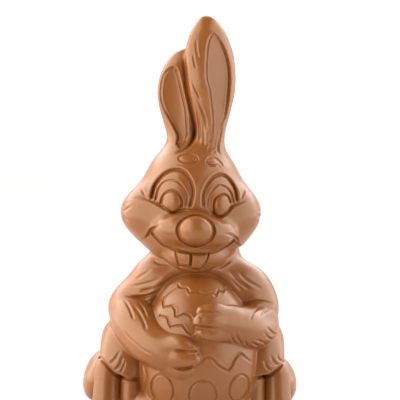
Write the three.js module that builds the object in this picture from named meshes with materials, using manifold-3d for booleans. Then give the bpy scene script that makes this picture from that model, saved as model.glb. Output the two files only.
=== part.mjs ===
// A moulded milk chocolate bunny that sits upright and hugs a large decorated egg.
// Millimetres, +Z up, the face towards -Y. The origin lies on the flat base, under the body.
// The figure is one moulding: head, ears, body, limbs and egg are fused into one solid.

import * as THREE from 'three';
import Module from 'manifold-3d';
import { LoftGeometry } from 'three/addons/geometries/LoftGeometry.js';
import { RoundedBoxGeometry } from 'three/addons/geometries/RoundedBoxGeometry.js';
import { mergeVertices } from 'three/addons/utils/BufferGeometryUtils.js';

const wasm = await Module();
wasm.setup();

// ---------------------------------------------------------------- driving dimensions

const CHOCOLATE_COLOUR = 0xb0764a;
const CHOCOLATE_ROUGHNESS = 0.42;
const CHOCOLATE_METALNESS = 0;

// Lobes are stretched balls: [x, y, z] of the middle, then the half sizes along X, Y and Z.
const HEAD = {
	middle: [ 0, 0, 103 ],
	along: [ 0, 0, 1 ],
	softness: 12,
	lobes: {
		cranium: [ 0.2, 1, 110, 25, 26, 27 ],
		leftCheek: [ - 24.2, - 5, 101.2, 11.2, 14, 10.8 ],
		rightCheek: [ 23.4, - 5, 101, 10.8, 14, 10.6 ],
		jaw: [ 0.5, - 5, 91.5, 25, 24, 17 ],
	},
};
const MUZZLE = { lobe: [ 1.5, - 20.5, 94.8, 20.5, 16, 10.2 ], lean: 5 };
const NOSE = { lobe: [ 2.2, - 36.5, 97.2, 8.4, 7, 7.2 ], lean: 5 };
const LOWER_LIP = { lobe: [ 1.5, - 13, 84, 17, 17, 10 ], lean: 3 };
const TEETH = {
	left: [ - 4, - 27.5, 82.5, 5.8, 8, 8.4 ],
	right: [ 3.6, - 27.5, 81.3, 6.8, 8, 8.6 ],
	rounding: 1.2,
	roundingSteps: 2,
	lean: 4,
};

const TORSO = {
	middle: [ 0, 4, 50 ],
	along: [ 0, 0, 1 ],
	softness: 8,
	lobes: {
		neck: [ 0.5, 4, 80, 22, 19, 14 ],
		chest: [ 0.5, - 1.5, 58, 28.5, 20.5, 22 ],
		belly: [ 0.5, 6, 28, 33, 26, 34 ],
		leftShoulder: [ - 18.5, - 2, 65.8, 12.5, 14, 12 ],
		rightShoulder: [ 24, - 2, 62.3, 15, 14, 13.2 ],
		leftElbow: [ - 29.5, - 2, 53, 12.2, 15, 13 ],
		rightElbow: [ 31.5, - 2, 52, 12.2, 15, 13 ],
	},
};
const HAUNCHES = {
	left: [ - 32.6, - 2, 33, 12.8, 18, 15.5 ],
	right: [ 35, - 2, 33, 11, 18, 15.5 ],
};
const SHINS = {
	left: [ - 34.5, - 12, 31, 11, 13, 16 ],
	right: [ 35.5, - 12, 30, 10.5, 13, 15 ],
};
const TAIL = [ 0, 31, 15, 10, 8.4, 10 ];

const EGG = { x: 3.3, y: - 12, widestHeight: 27, radius: 30.8, above: 45, below: 34.3 };

const LEFT_FOREARM = {
	softness: 8,
	middle: [ - 20, - 22, 42 ],
	along: [ 0.6, - 0.65, - 0.4 ],
	lobes: {
		elbow: [ - 29, - 10, 49.5, 12.2, 12, 12.2 ],
		wrist: [ - 19.5, - 25, 41, 11.4, 11.5, 11.4 ],
		hand: [ - 10, - 34, 37, 9.8, 9.4, 9.6 ],
	},
};
const RIGHT_FOREARM = {
	softness: 8,
	middle: [ 21, - 23, 48.5 ],
	along: [ - 0.66, - 0.72, 0.15 ],
	lobes: {
		elbow: [ 31.5, - 10, 46, 12, 12, 11.8 ],
		wrist: [ 24.5, - 23, 47, 11, 11, 10.6 ],
		hand: [ 13.5, - 34.5, 51.8, 9, 9, 8.8 ],
	},
};
const FINGERS = [
	[ - 4, - 41.4, 41.4, 6.4, 4, 3.9 ],
	[ - 3.4, - 42.2, 35.2, 7.2, 4.7, 4.2 ],
	[ - 5.5, - 40.4, 29, 6.2, 4, 3.5 ],
	[ 8, - 40.6, 58.6, 6, 4, 3.2 ],
	[ 6.6, - 42, 53.4, 6.4, 4.4, 4 ],
	[ 8, - 41, 47.8, 6.2, 4.2, 3.6 ],
];

// Each foot has three rounded toes that stand side by side: outer, middle, inner.
const TOES = [
	[ - 47, 2, 16, 8.8, 17, 14.5 ],
	[ - 41.6, - 10, 10, 7.2, 14, 19 ],
	[ - 30, - 11, 8, 5.4, 13, 17 ],
	[ 44.8, 2, 14.5, 8.7, 17, 13.5 ],
	[ 41.3, - 10, 8, 7, 14, 18 ],
	[ 30.8, - 11, 8, 5.2, 13, 17 ],
];

// Ears: at each height the middle of the oval section across X and its half width and depth. The
// ear is turned about an upright line, towards its own side where the turn is positive.
const RIGHT_EAR = {
	depth: - 1,
	turnDegrees: 20,
	heights: [ 126, 132, 140, 152, 162, 171, 180, 188, 194, 197, 198.3 ],
	middles: [ 6, 7.5, 8.7, 9.8, 10, 9.6, 8.6, 8, 7.7, 7.4, 7.1 ],
	halfWidths: [ 10, 8.4, 7.6, 9.8, 11.9, 12.5, 12.2, 9.8, 6.4, 3.6, 1 ],
	halfDepths: [ 10, 9.4, 9, 8.6, 8.4, 8, 7.4, 6.4, 4.9, 2.9, 1 ],
};
const LEFT_EAR = {
	depth: 3,
	turnDegrees: 0,
	heights: [ 126, 132, 139, 146, 154, 162, 170, 176, 180, 182.3 ],
	middles: [ - 5, - 5, - 5, - 5, - 5.8, - 6.6, - 6.4, - 4.8, - 3.4, - 2 ],
	halfWidths: [ 9, 8, 7.6, 9.4, 10.8, 10.6, 9, 7.4, 4.8, 1.5 ],
	halfDepths: [ 9, 8.6, 8.2, 7.8, 7.4, 7, 6.2, 5, 3.6, 1.2 ],
};

// Hollows inside the ears: long balls that cut a little way into the front of each ear.
const EAR_HOLLOWS = [
	{ lobe: [ 12.9, - 12.6, 162, 5.4, 5, 27 ], lean: - 1 },
	{ lobe: [ - 9, - 7.6, 156, 5, 4.8, 19 ], lean: - 11 },
];

// Creases drawn on the front: [x, z] points that a smooth line runs through.
const FINE_CREASE = { halfWidth: 0.45, depth: 0.6 };
const CREASE = { halfWidth: 0.6, depth: 0.9 };
const DEEP_CREASE = { halfWidth: 0.8, depth: 1.4 };
const EAR_CREASES = [
	[ [ - 9.3, 173 ], [ - 14.3, 166 ], [ - 14.6, 155 ], [ - 9, 143 ], [ - 7.9, 135.5 ] ],
	[ [ - 9.3, 173 ], [ - 5.8, 166 ], [ - 3.2, 153 ], [ - 1.9, 140 ], [ - 5.9, 132.6 ] ],
	[ [ 10.3, 189 ], [ 7.2, 179 ], [ 7.4, 165 ], [ 10, 148 ], [ 8, 132 ] ],
	[ [ 10.3, 189 ], [ 16, 181 ], [ 18.5, 168 ], [ 16.8, 151 ], [ 13.3, 138 ], [ 13, 131 ] ],
];
const MOUTH = [
	[ - 21, 91 ], [ - 19.4, 95 ], [ - 16.5, 91.9 ], [ - 8, 86.6 ], [ 4, 84.4 ], [ 14.6, 87.3 ],
	[ 19.9, 91.8 ], [ 22.7, 88.4 ],
];
const CHIN_CREASE = [ [ - 14, 82 ], [ - 10, 77.6 ], [ - 3.5, 74.8 ], [ 4, 74 ], [ 11, 76 ], [ 18, 80 ] ];

// Eyes: three arches one inside the other, each [left foot x, foot z, top x, top z, right foot x].
const EYE_ARCHES = [
	[ - 19.7, 109, - 7.4, 124.8, 0.6, 106 ],
	[ - 17.2, 108, - 9.6, 119, - 2.4, 106 ],
	[ - 15.2, 107, - 9.2, 114.2, - 4.3, 106 ],
	[ 5.6, 104, 13.6, 121.8, 22.4, 108 ],
	[ 7.6, 105, 14.2, 117, 20.4, 107 ],
	[ 10.6, 105, 15, 112.3, 19, 107 ],
];
const EYELIDS = [
	[ [ - 21, 109.6 ], [ - 14.5, 106.6 ], [ - 9, 103.2 ], [ - 1, 105 ] ],
	[ [ 6.4, 103.4 ], [ 13.5, 101.1 ], [ 20, 105.6 ], [ 27, 109.4 ] ],
];
const PUPILS = [
	[ - 9.7, - 24, 108, 4.6, 3.6, 5.6 ],
	[ 14.8, - 22, 106.4, 3.8, 3.6, 5.4 ],
];
const BROWS = [
	{ lobe: [ - 1.8, - 16.6, 129.6, 4, 3.2, 1.7 ], lean: 0 },
	{ lobe: [ 11.4, - 15.8, 127.6, 4, 3.2, 1.5 ], lean: 24 },
];

// Painted-egg pattern: zigzag cracks and rings.
const EGG_ZIGZAGS = [
	[ [ - 7, 69 ], [ - 2.6, 67.8 ], [ - 0.6, 64.8 ], [ 3.5, 65.4 ], [ 6, 63.8 ],
		[ 10, 65.2 ], [ 11.5, 63 ], [ 13.4, 66.2 ], [ 17.4, 66.6 ] ],
	[ [ - 15, 61 ], [ - 13, 59.4 ], [ - 8.5, 60 ], [ - 7, 54.6 ], [ - 2.4, 56 ], [ 0.3, 53.6 ] ],
	[ [ - 16, 56 ], [ - 12.3, 54.6 ], [ - 10, 49.8 ], [ - 4.4, 50.8 ], [ - 0.8, 46.4 ] ],
	[ [ 2.6, 31.4 ], [ 7.6, 35 ], [ 16.6, 28.4 ], [ 22.8, 36.6 ], [ 27.6, 32.8 ] ],
];
const EGG_RINGS = [
	{ x: - 13.9, z: 18.4, halfLength: 5.4, halfHeight: 6.6, lean: - 20 },
	{ x: 5.2, z: 15, halfLength: 7, halfHeight: 7.4, lean: 0 },
	{ x: 22.4, z: 18.4, halfLength: 4.8, halfHeight: 6.8, lean: 20 },
];

const FIGURE_HEIGHT = 198.3;
const BEYOND = 200;
const TINY = 1e-6;

// How many flat sides the round forms have: around and, where it is given too, from pole to pole.
const SIDES = {
	torso: [ 24, 16 ],
	head: [ 26, 18 ],
	egg: [ 26, 16 ],
	forearm: [ 14, 14 ],
	ear: 14,
	muzzle: 22,
	lowerLip: 16,
	nose: 16,
	haunch: 14,
	shin: 12,
	tail: 14,
	toe: 12,
	finger: 10,
	brow: 10,
	pupil: 10,
	earHollow: 18,
};
const POLE_TO_POLE_SHARE = 0.6;

// How finely rays are followed to the skin, and how many points a ring or an arch has.
const RAY_STEPS = 60;
const RAY_CAUTION = 0.7;
const ARCH_POINTS = 7;
const RING_POINTS = 5;
const RING_OVERLAP = 4;

// ---------------------------------------------------------------- solids from shapes

function solidOf( { index, attributes } ) {

	const skin = new THREE.BufferGeometry();
	skin.setAttribute( 'position', attributes.position );
	skin.setIndex( index );
	const welded = mergeVertices( skin );
	return new wasm.Manifold( new wasm.Mesh( {
		numProp: 3,
		vertProperties: new Float32Array( welded.attributes.position.array ),
		triVerts: new Uint32Array( welded.index.array ),
	} ) );

}

function geometryOf( solid ) {

	const mesh = solid.getMesh();
	const geometry = new THREE.BufferGeometry();
	geometry.setAttribute( 'position', new THREE.BufferAttribute( mesh.vertProperties, 3 ) );
	geometry.setIndex( new THREE.BufferAttribute( mesh.triVerts, 1 ) );
	return geometry;

}

function joined( solids ) {

	return solids.reduce( ( whole, piece ) => whole.add( piece ) );

}

// A stretched ball, leaned about Y: clockwise as seen from the front where the lean is positive.
function ball( [ x, y, z, halfX, halfY, halfZ ], sides, leanDegrees = 0 ) {

	const geometry = new THREE.SphereGeometry( 1, sides, Math.round( sides * POLE_TO_POLE_SHARE ) );
	geometry.rotateX( Math.PI / 2 );
	geometry.scale( halfX, halfY, halfZ );
	geometry.rotateY( THREE.MathUtils.degToRad( leanDegrees ) );
	geometry.translate( x, y, z );
	return solidOf( geometry );

}

// ---------------------------------------------------------------- blended forms

// How far a point lies outside a lobe's skin; below zero inside.
function distanceToLobe( [ x, y, z, halfX, halfY, halfZ ], point ) {

	const half = new THREE.Vector3( halfX, halfY, halfZ );
	const scaled = new THREE.Vector3( x, y, z ).sub( point ).divide( half );
	const depth = scaled.length();
	const steepness = scaled.divide( half ).length();
	return depth * ( depth - 1 ) / Math.max( steepness, TINY );

}

function smoothMinimum( a, b, softness ) {

	const overlap = Math.max( softness - Math.abs( a - b ), 0 );
	return Math.min( a, b ) - overlap * overlap / ( 4 * softness );

}

function distanceToBlend( lobes, softness, point ) {

	const distances = Object.values( lobes ).map( ( lobe ) => distanceToLobe( lobe, point ) );
	return distances.reduce( ( a, b ) => smoothMinimum( a, b, softness ) );

}

// A ball of rays from the middle, each cut off where it meets the skin of the blended lobes.
function blendedForm( { lobes, softness, middle, along }, columns, rows ) {

	const geometry = new THREE.SphereGeometry( 1, columns, rows );
	const poles = new THREE.Vector3( ...along ).normalize();
	const turn = new THREE.Quaternion().setFromUnitVectors( new THREE.Vector3( 0, 1, 0 ), poles );
	geometry.applyQuaternion( turn );
	const centre = new THREE.Vector3( ...middle );
	const position = geometry.attributes.position;
	const ray = new THREE.Vector3();
	const point = new THREE.Vector3();
	for ( let i = 0; i < position.count; i ++ ) {

		ray.fromBufferAttribute( position, i ).normalize();
		let reach = FIGURE_HEIGHT / 2;
		for ( let step = 0; step < RAY_STEPS; step ++ ) {

			point.copy( centre ).addScaledVector( ray, reach );
			reach -= RAY_CAUTION * distanceToBlend( lobes, softness, point );

		}

		point.copy( centre ).addScaledVector( ray, reach );
		position.setXYZ( i, point.x, point.y, point.z );

	}

	return solidOf( geometry );

}

// ---------------------------------------------------------------- ears, egg, teeth

function ear( { depth, turnDegrees, heights, middles, halfWidths, halfDepths }, columns ) {

	const turn = THREE.MathUtils.degToRad( turnDegrees );
	const sections = heights.map( ( height, row ) => Array.from( { length: columns }, ( _, column ) => {

		const angle = 2 * Math.PI * column / columns;
		const across = halfWidths[ row ] * Math.cos( angle );
		const back = halfDepths[ row ] * Math.sin( angle );
		const x = middles[ row ] + Math.cos( turn ) * across - Math.sin( turn ) * back;
		const y = depth + Math.sin( turn ) * across + Math.cos( turn ) * back;
		return new THREE.Vector3( x, y, height );

	} ) );
	return solidOf( new LoftGeometry( sections, { capStart: true, capEnd: true } ) );

}

function egg( columns, rows ) {

	const profile = Array.from( { length: rows + 1 }, ( _, row ) => {

		const angle = Math.PI * ( row / rows - 0.5 );
		const half = angle > 0 ? EGG.above : EGG.below;
		const radius = row % rows === 0 ? 0 : EGG.radius * Math.cos( angle );
		return new THREE.Vector2( radius, EGG.widestHeight + half * Math.sin( angle ) );

	} );
	const geometry = new THREE.LatheGeometry( profile, columns );
	geometry.rotateX( Math.PI / 2 );
	geometry.translate( EGG.x, EGG.y, 0 );
	return solidOf( geometry );

}

function tooth( [ x, y, z, width, thickness, height ] ) {

	const geometry = new RoundedBoxGeometry( width, thickness, height, TEETH.roundingSteps, TEETH.rounding );
	geometry.rotateY( THREE.MathUtils.degToRad( TEETH.lean ) );
	geometry.translate( x, y, z );
	return solidOf( geometry );

}

function belowFloor() {

	const geometry = new THREE.BoxGeometry( BEYOND, BEYOND, BEYOND );
	geometry.translate( 0, 0, - BEYOND / 2 );
	return solidOf( geometry );

}

// ---------------------------------------------------------------- creases on the skin

// Finds the front of a solid: the returned function gives the skin's point at any x and z.
function frontOf( solid ) {

	const mesh = new THREE.Mesh( geometryOf( solid ), new THREE.MeshBasicMaterial() );
	const backwards = new THREE.Vector3( 0, 1, 0 );
	return ( [ x, z ] ) => {

		const caster = new THREE.Raycaster( new THREE.Vector3( x, - BEYOND, z ), backwards );
		return caster.intersectObject( mesh )[ 0 ].point;

	};

}

// A cutter of diamond section along a smooth line through the given points of the front.
function crease( front, line, { halfWidth, depth }, stepsForEachPoint = 2 ) {

	const path = new THREE.CatmullRomCurve3( line.map( front ) );
	const section = new THREE.Shape( [
		new THREE.Vector2( depth, 0 ),
		new THREE.Vector2( 0, halfWidth ),
		new THREE.Vector2( - depth, 0 ),
		new THREE.Vector2( 0, - halfWidth ),
	] );
	const steps = stepsForEachPoint * ( line.length - 1 );
	return solidOf( new THREE.ExtrudeGeometry( section, { extrudePath: path, steps } ) );

}

// Points along part of an oval drawn on the front, from one angle to the other.
function ovalLine( { x, z, halfLength, halfHeight, lean }, fromDegrees, toDegrees, points ) {

	const centre = new THREE.Vector2( x, z );
	return Array.from( { length: points }, ( _, i ) => {

		const share = i / ( points - 1 );
		const angle = THREE.MathUtils.degToRad( THREE.MathUtils.lerp( fromDegrees, toDegrees, share ) );
		const offset = new THREE.Vector2( halfLength * Math.cos( angle ), halfHeight * Math.sin( angle ) );
		offset.rotateAround( new THREE.Vector2(), THREE.MathUtils.degToRad( - lean ) );
		return offset.add( centre ).toArray();

	} );

}

// A ring is two half ovals whose ends overlap a little.
function ringCreases( front, oval, size ) {

	return [ 0, 180 ].map( ( start ) => {

		const line = ovalLine( oval, start - RING_OVERLAP, start + 180 + RING_OVERLAP, RING_POINTS );
		return crease( front, line, size, 1 );

	} );

}

// An arch rises from its left foot to its top and falls to its right foot, round like an oval.
function archLine( [ leftX, footZ, topX, topZ, rightX ] ) {

	return Array.from( { length: ARCH_POINTS }, ( _, i ) => {

		const angle = Math.PI * ( 1 - i / ( ARCH_POINTS - 1 ) );
		const halfWidth = angle > Math.PI / 2 ? topX - leftX : rightX - topX;
		return [ topX + halfWidth * Math.cos( angle ), footZ + ( topZ - footZ ) * Math.sin( angle ) ];

	} );

}

function allCreases( front ) {

	return [
		...EAR_CREASES.map( ( line ) => crease( front, line, CREASE ) ),
		...EYE_ARCHES.map( ( arch ) => crease( front, archLine( arch ), CREASE, 1 ) ),
		...EYELIDS.map( ( line ) => crease( front, line, CREASE ) ),
		crease( front, MOUTH, DEEP_CREASE ),
		crease( front, CHIN_CREASE, CREASE ),
		...EGG_ZIGZAGS.map( ( line ) => crease( front, line, FINE_CREASE ) ),
		...EGG_RINGS.flatMap( ( ring ) => ringCreases( front, ring, FINE_CREASE ) ),
	];

}

// ---------------------------------------------------------------- the figure

function roughFigure() {

	return joined( [
		blendedForm( TORSO, ...SIDES.torso ),
		ball( HAUNCHES.left, SIDES.haunch ),
		ball( HAUNCHES.right, SIDES.haunch ),
		ball( SHINS.left, SIDES.shin ),
		ball( SHINS.right, SIDES.shin ),
		ball( TAIL, SIDES.tail ),
		...TOES.map( ( toe ) => ball( toe, SIDES.toe ) ),
		blendedForm( HEAD, ...SIDES.head ),
		ball( MUZZLE.lobe, SIDES.muzzle, MUZZLE.lean ),
		ball( LOWER_LIP.lobe, SIDES.lowerLip, LOWER_LIP.lean ),
		...BROWS.map( ( { lobe, lean } ) => ball( lobe, SIDES.brow, lean ) ),
		ball( NOSE.lobe, SIDES.nose, NOSE.lean ),
		tooth( TEETH.left ),
		tooth( TEETH.right ),
		ear( LEFT_EAR, SIDES.ear ),
		ear( RIGHT_EAR, SIDES.ear ),
		egg( ...SIDES.egg ),
		blendedForm( LEFT_FOREARM, ...SIDES.forearm ),
		blendedForm( RIGHT_FOREARM, ...SIDES.forearm ),
		...FINGERS.map( ( finger ) => ball( finger, SIDES.finger ) ),
	] ).subtract( belowFloor() );

}

function bunny() {

	const hollows = EAR_HOLLOWS.map( ( { lobe, lean } ) => ball( lobe, SIDES.earHollow, lean ) );
	const rough = roughFigure().subtract( joined( hollows ) );
	const carved = rough.subtract( joined( allCreases( frontOf( rough ) ) ) );
	const pupils = PUPILS.map( ( pupil ) => ball( pupil, SIDES.pupil ) );
	return carved.add( joined( pupils ) );

}

const chocolate = new THREE.MeshStandardMaterial( {
	color: CHOCOLATE_COLOUR,
	roughness: CHOCOLATE_ROUGHNESS,
	metalness: CHOCOLATE_METALNESS,
} );

const figure = new THREE.Mesh( geometryOf( bunny() ), chocolate );
figure.name = 'bunny';

const group = new THREE.Group();
group.add( figure );

export default group;
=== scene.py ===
# A moulded milk chocolate bunny hugging a decorated egg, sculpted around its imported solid.
# The figure is one distance field in millimetres: rounded forms run into one another, and the
# carved lines (eyes, mouth, fur, ear rims, egg pattern) raise or lower the skin.

import math

import bpy
import numpy as np
import openvdb
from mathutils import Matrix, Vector


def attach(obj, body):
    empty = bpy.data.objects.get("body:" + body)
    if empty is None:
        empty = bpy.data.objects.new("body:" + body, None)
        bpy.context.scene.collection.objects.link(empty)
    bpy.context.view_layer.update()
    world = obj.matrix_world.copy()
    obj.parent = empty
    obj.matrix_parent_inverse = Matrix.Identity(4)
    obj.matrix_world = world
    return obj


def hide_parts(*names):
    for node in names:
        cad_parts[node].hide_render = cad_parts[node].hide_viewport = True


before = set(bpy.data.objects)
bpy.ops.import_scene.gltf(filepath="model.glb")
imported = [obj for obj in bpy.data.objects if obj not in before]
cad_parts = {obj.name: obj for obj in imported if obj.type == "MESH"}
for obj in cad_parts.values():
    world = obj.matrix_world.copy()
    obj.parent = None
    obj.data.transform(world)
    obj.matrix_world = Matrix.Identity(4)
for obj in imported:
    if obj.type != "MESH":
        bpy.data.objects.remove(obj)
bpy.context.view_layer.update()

MM = 0.001
CELL = 0.4
MOST_TRIANGLES = 190_000

# ---------------------------------------------------------------- forms

# All sizes and places are in millimetres. A softness says how far apart two skins still run into
# one another, and so how wide the fillet between two forms is.

# A lobe is a stretched ball: middle x, y, z, then its half sizes along X, Y and Z.
CRANIUM = (0.2, 1, 110, 25, 26, 27)
CHEEKS = [(-24.2, -5, 101.2, 11.2, 14, 10.8), (23.4, -5, 101, 10.8, 14, 10.6)]
JAW = (0.5, -5, 91.5, 25, 24, 17)
MUZZLE = (1.5, -20.5, 94.8, 20.5, 16, 10.2)
NOSE = (2.2, -36.3, 97.2, 7.9, 6.8, 7)
LOWER_LIP = (1.5, -13.4, 83.4, 16.6, 17, 11)
FACE_LEAN = 5
HEAD_SOFTNESS = 12
MUZZLE_SOFTNESS = 2
NOSE_SOFTNESS = 0.8
CHIN_SOFTNESS = 1.5

NECK = (1.8, 4, 80, 22, 19, 14)
CHEST = (0.5, -1.5, 58, 28.5, 20.5, 22)
BELLY = (0.5, 6, 28, 33, 26, 34)
SHOULDERS = [(-18.5, -2, 65.8, 12.5, 14, 12), (24, -2, 62.3, 15, 14, 13.2)]
ELBOWS = [(-29.5, -2, 53, 12.2, 15, 13), (31.5, -2, 52, 12.2, 15, 13)]
BODY_SOFTNESS = 8

HAUNCHES = [(-32.6, -2, 33, 12.8, 18, 15.5), (36, -1, 33, 10, 18, 15.5)]
# Shins, an outer and an inner limb to each, from the knee down: middle x, y, z and radius.
SHINS = [
    [(-35.6, -5, 38, 8.8), (-36.6, -12, 31, 8.9), (-36.8, -15.5, 20, 8.8)],
    [(-31, -9, 40, 9.4), (-31.5, -15.5, 30, 9.4), (-31.5, -17.6, 16, 9.2)],
    [(36.4, -6, 36, 8.6), (37.4, -13, 30, 8.5), (37.6, -16.5, 18, 8.4)],
    [(32, -9, 37, 8.6), (32.5, -15.5, 28, 8.8), (32.6, -17.8, 16, 8.8)],
]
SHIN_SOFTNESS = 6
KNEE_SOFTNESS = 4
LEG_SOFTNESS = 1.2

TAIL = (0, 31, 15, 10, 8, 10)
TAIL_SOFTNESS = 1.5
# A low base fills the places between and behind the feet.
BASE = (0, -6, 4, 42, 27, 18)
BASE_SOFTNESS = 3

# The egg is taller above its widest line than below it.
EGG_MIDDLE = (3.3, -12, 27)
EGG_RADIUS = 30.8
EGG_ABOVE = 43.8
EGG_BELOW = 34.3
EGG_SOFTNESS = 1

# Forearms, from the elbow to the hand, and fingers from the top one down, as limbs too.
LEFT_FOREARM = [
    (-29.5, -4, 52, 12.5), (-26.8, -16, 46.8, 12.2), (-20.5, -27, 40.4, 10.8),
    (-14, -33, 37.6, 9.5), (-7.5, -36, 35.8, 7.6),
]
LEFT_FINGERS = [
    [(-14, -35, 40.6, 4.4), (-6, -40.6, 42.2, 4.3), (-0.2, -42, 40, 3.4)],
    [(-14, -36, 36.6, 4.6), (-5, -41.2, 35.2, 4.5), (1, -42, 35, 3.7)],
    [(-14, -34.5, 32.4, 4.2), (-6, -39.6, 28.8, 3.9), (-1.2, -40.6, 29.2, 3.2)],
]
RIGHT_FOREARM = [
    (31.8, -7, 45, 11.8), (31, -14, 45.2, 11.2), (26, -24.5, 46.8, 10.6),
    (19, -31.4, 50, 9.4), (12.5, -35.2, 52, 7.6),
]
RIGHT_FINGERS = [
    [(19, -34, 53.6, 4.4), (11, -39.6, 57.8, 4.2), (5.4, -41, 57.6, 3.3)],
    [(19, -35.5, 50.4, 4.6), (10, -41, 53, 4.6), (4.2, -42, 53, 3.7)],
    [(19, -34, 46.8, 4.4), (11, -40, 47.2, 4.3), (5.4, -41, 47.8, 3.4)],
]
FINGER_SOFTNESS = 0.7
HAND_SOFTNESS = 3
ARM_SOFTNESS = 1.2

# Feet: the outer side of each foot with its lean, and the webs between the toes.
FEET = [
    ((-47, 3, 16.8, 7.9, 16, 13.4), 18),
    ((44.6, 3, 14.4, 8.2, 16, 12), -16),
    ((-36, -7, 6, 9, 10.4, 25), 0),
    ((36.4, -7, 6, 8.5, 10.4, 24), 0),
]
# Toes, from under the hem down to the ground: middle x, y, z and radius.
TOES = [
    [(-41.6, -13, 24, 6.6), (-42.4, -16.5, 4, 7.5)],
    [(-30, -17.3, 18, 5), (-30.2, -19, 4, 5.3)],
    [(42.2, -13.6, 21, 6.3), (42.8, -16.6, 4, 6.9)],
    [(31, -17, 18, 5), (31, -18.6, 4, 5.2)],
]
FOOT_SOFTNESS = 0.8
# The hems that cut the legs off above the feet, as they show on the board: X and Z.
LEFT_HEM = [(-46.5, 28.8), (-42.8, 24.9), (-38.9, 20.6), (-34.2, 18.3), (-31.1, 17.5), (-27, 18.1)]
RIGHT_HEM = [(30.5, 18), (35.2, 18.9), (38.2, 19.3), (40.6, 20.9), (43.5, 23.6), (46, 27)]
HEM = [(-60, 31), *LEFT_HEM, *RIGHT_HEM, (60, 30)]
HEM_SOFTNESS = 0.6

# Ears: by height, the middle of the oval section across X and its half sizes; turned about Z.
RIGHT_EAR = {
    "depth": -1, "turn": 20,
    "heights": (126, 132, 140, 152, 162, 171, 180, 188, 194, 197, 198.3),
    "middles": (6, 7.5, 8.7, 9.8, 10, 9.6, 8.6, 8, 7.7, 7.4, 7.1),
    "half_widths": (10, 8.4, 7.6, 9.8, 11.9, 12.5, 12.2, 9.8, 6.4, 3.6, 0),
    "half_depths": (10, 9.4, 9, 8.6, 8.4, 8, 7.4, 6.4, 4.9, 2.9, 0),
}
LEFT_EAR = {
    "depth": 3, "turn": 0,
    "heights": (126, 132, 139, 146, 154, 162, 170, 176, 180, 182.3),
    "middles": (-5, -5, -5, -5, -5.8, -6.6, -6.4, -4.8, -3.4, -2),
    "half_widths": (9, 8, 7.6, 9.4, 10.8, 10.6, 9, 7.4, 4.8, 0),
    "half_depths": (9, 8.6, 8.2, 7.8, 7.4, 7, 6.2, 5, 3.6, 0),
}
EAR_PAIR_SOFTNESS = 2.5
EAR_SOFTNESS = 5

# Beyond this distance a limb doesn't blend with others, so it needn't be exact.
FAR = 9
# The nearest place on a limb is looked for at steps along its spans and then improved in rounds.
LIMB_STEP = 0.25
LIMB_ROUNDS = 3
LEAST_SHARE = 0.3

# These keep divisions and roots clear of zero, in the middle of a form and at the tip of an ear.
LEAST_STEEPNESS = 1e-6
LEAST_SQUARE = 0.01
TIP_GAP = 0.01


def lobe(p, shape, lean=0):
    """Distance to a stretched ball, leaned about Y: clockwise from the front if positive."""
    x, y, z, half_x, half_y, half_z = shape
    u, v, w = p[0] - x, p[1] - y, p[2] - z
    if lean:
        c, s = math.cos(math.radians(lean)), math.sin(math.radians(lean))
        u, w = c * u - s * w, s * u + c * w
    u, v, w = u / half_x, v / half_y, w / half_z
    depth = np.sqrt(u * u + v * v + w * w)
    steepness = np.sqrt((u / half_x) ** 2 + (v / half_y) ** 2 + (w / half_z) ** 2)
    return depth * (depth - 1) / np.maximum(steepness, LEAST_STEEPNESS)


def blend(a, b, softness):
    """Both forms together, with a fillet where they meet."""
    overlap = np.maximum(softness - np.abs(a - b), 0)
    return np.minimum(a, b) - overlap * overlap / (4 * softness)


def blend_all(forms, softness):
    """Several forms together, blended one after the other."""
    whole = forms[0]
    for form in forms[1:]:
        whole = blend(whole, form, softness)
    return whole


def lobes(p, shapes, softness):
    """Several upright lobes together."""
    return blend_all([lobe(p, shape) for shape in shapes], softness)


def tube(p, stations):
    """Distance to a round limb whose middle line and thickness run smoothly through stations."""
    spans = spans_through(stations)
    middle = np.mean(stations, axis=0)[:3]
    reach = max(math.dist(middle, station[:3]) + station[3] for station in stations)
    places = np.stack(p, axis=1)
    skin = np.linalg.norm(places - middle, axis=1) - reach
    near = np.flatnonzero(skin < FAR)
    if len(near):
        skin[near] = near_tube(places[near], spans)
    return skin


def near_tube(places, spans):
    """The same where it matters: the nearest of a few steps along the limb, then improved."""
    best = np.full(len(places), np.inf)
    along = np.zeros(len(places))
    for step in np.arange(0, len(spans) + LIMB_STEP / 2, LIMB_STEP):
        gap = np.sum((places - on_span(spans, np.array([step]))[0][:, :3]) ** 2, axis=1)
        along = np.where(gap < best, step, along)
        best = np.minimum(gap, best)
    for _ in range(LIMB_ROUNDS):
        point, slope, bend = on_span(spans, along)
        away = places - point[:, :3]
        ahead = np.sum(away * slope[:, :3], axis=1)
        run = np.sum(slope[:, :3] ** 2, axis=1)
        rate = np.maximum(run - np.sum(away * bend[:, :3], axis=1), LEAST_SHARE * run)
        along = np.clip(along + ahead / rate, 0, len(spans))
    point = on_span(spans, along)[0]
    return np.linalg.norm(places - point[:, :3], axis=1) - point[:, 3]


def spans_through(points):
    """The cubic pieces of a smooth curve through the points: each four rows of coefficients."""
    p = np.array(points, float)
    p = np.vstack([2 * p[0] - p[1], p, 2 * p[-1] - p[-2]])
    a, b, c, d = p[:-3], p[1:-2], p[2:-1], p[3:]
    rows = [2 * b, c - a, 2 * a - 5 * b + 4 * c - d, 3 * b - a - 3 * c + d]
    return 0.5 * np.stack(rows, axis=1)


def on_span(spans, along):
    """Points, slopes and bends of the curve; the whole part of along names the span."""
    number = np.minimum(along.astype(int), len(spans) - 1)
    t = (along - number)[:, None]
    k = spans[number]
    point = k[:, 0] + t * (k[:, 1] + t * (k[:, 2] + t * k[:, 3]))
    slope = k[:, 1] + t * (2 * k[:, 2] + 3 * t * k[:, 3])
    bend = 2 * k[:, 2] + 6 * t * k[:, 3]
    return point, slope, bend


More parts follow.
